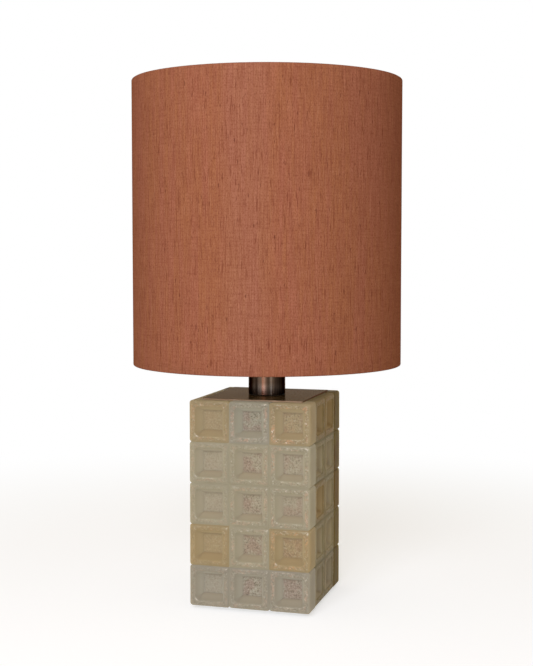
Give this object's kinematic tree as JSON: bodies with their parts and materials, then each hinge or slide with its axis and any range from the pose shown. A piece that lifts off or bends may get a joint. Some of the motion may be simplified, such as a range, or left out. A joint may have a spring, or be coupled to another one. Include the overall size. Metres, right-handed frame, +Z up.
{
  "type": "table lamp",
  "caption": "Table lamp with a column of cast glass tiles, a short dark bronze neck and a fabric drum shade that lifts off.",
  "frame": {"origin": "on the table, under the lamp's upright axis, at the level of the feet's treads", "axes": "+Z up along the lamp's axis; the front face looks along -Y, the cord inlet along +Y"},
  "size_m": [0.2959, 0.296, 0.575],
  "materials": {
    "glass_olive": "cast glass, frosted, olive",
    "glass_grey_green": "cast glass, frosted, grey-green",
    "glass_amber": "cast glass, frosted, amber",
    "glass_grey": "cast glass, frosted, smoky grey",
    "white_enamel": "sheet metal, white enamel",
    "dark_bronze": "dark bronze plating, polished",
    "zinc_steel": "zinc-plated steel",
    "foot_rubber": "black rubber",
    "bush_rubber": "black rubber",
    "black_fibre": "black fibre",
    "insert_ceramic": "glazed steatite",
    "holder_plastic": "black thermoset",
    "contact_brass": "nickelled brass",
    "shade_silk": "rust dupion silk",
    "shade_lining": "white styrene laminate",
    "shade_wire": "white powder coat",
    "bulb_insulator": "black vitrite",
    "bulb_metal": "aluminium screw cap",
    "bulb_plastic": "white plastic",
    "bulb_opal": "opal glass"
  },
  "bodies": {
    "base": {"front_glass_row_1": "glass_olive", "front_glass_row_2": "glass_grey_green", "front_glass_row_3": "glass_grey_green", "front_glass_row_4": "glass_amber", "front_glass_row_5": "glass_grey", "right_glass_row_1": "glass_olive", "right_glass_row_2": "glass_grey_green", "right_glass_row_3": "glass_grey_green", "right_glass_row_4": "glass_amber", "right_glass_row_5": "glass_grey", "back_glass_row_1": "glass_olive", "back_glass_row_2": "glass_grey_green", "back_glass_row_3": "glass_grey_green", "back_glass_row_4": "glass_amber", "back_glass_row_5": "glass_grey", "left_glass_row_1": "glass_olive", "left_glass_row_2": "glass_grey_green", "left_glass_row_3": "glass_grey_green", "left_glass_row_4": "glass_amber", "left_glass_row_5": "glass_grey", "core_box": "white_enamel", "base_plate": "zinc_steel", "top_plate": "dark_bronze", "feet": "foot_rubber", "tie_rod": "zinc_steel", "base_nut": "zinc_steel", "neck_nut": "zinc_steel", "base_washer": "zinc_steel", "neck_gasket": "black_fibre", "neck": "dark_bronze", "holder_insert": "insert_ceramic", "holder_sleeve": "holder_plastic", "screw_shell": "contact_brass", "centre_contact": "contact_brass", "terminal_screws": "contact_brass", "inlet_bush": "bush_rubber"},
    "shade": {"shade_cover": "shade_silk", "shade_lining": "shade_lining", "top_rim_ring": "shade_wire", "bottom_rim_ring": "shade_wire", "fitter_ring": "shade_wire", "fitter_arms": "shade_wire"},
    "retaining_ring": {"retaining_ring": "holder_plastic"},
    "bulb": {"bulb_contact": "contact_brass", "bulb_insulator": "bulb_insulator", "bulb_cap": "bulb_metal", "bulb_body": "bulb_plastic", "bulb_globe": "bulb_opal"}
  },
  "joints": [
    {"name": "shade_lift", "type": "slide", "parent": "base", "child": "shade", "axis": [0, 0, 1], "range_m": [0, 0.12]},
    {"name": "retaining_ring_turn", "type": "hinge", "parent": "shade", "child": "retaining_ring", "pos_m": [0, 0, 0.2965], "axis": [0, 0, 1], "continuous": true},
    {"name": "bulb_lift", "type": "slide", "parent": "base", "child": "bulb", "axis": [0, 0, 1], "range_m": [0, 0.1]}
  ]
}
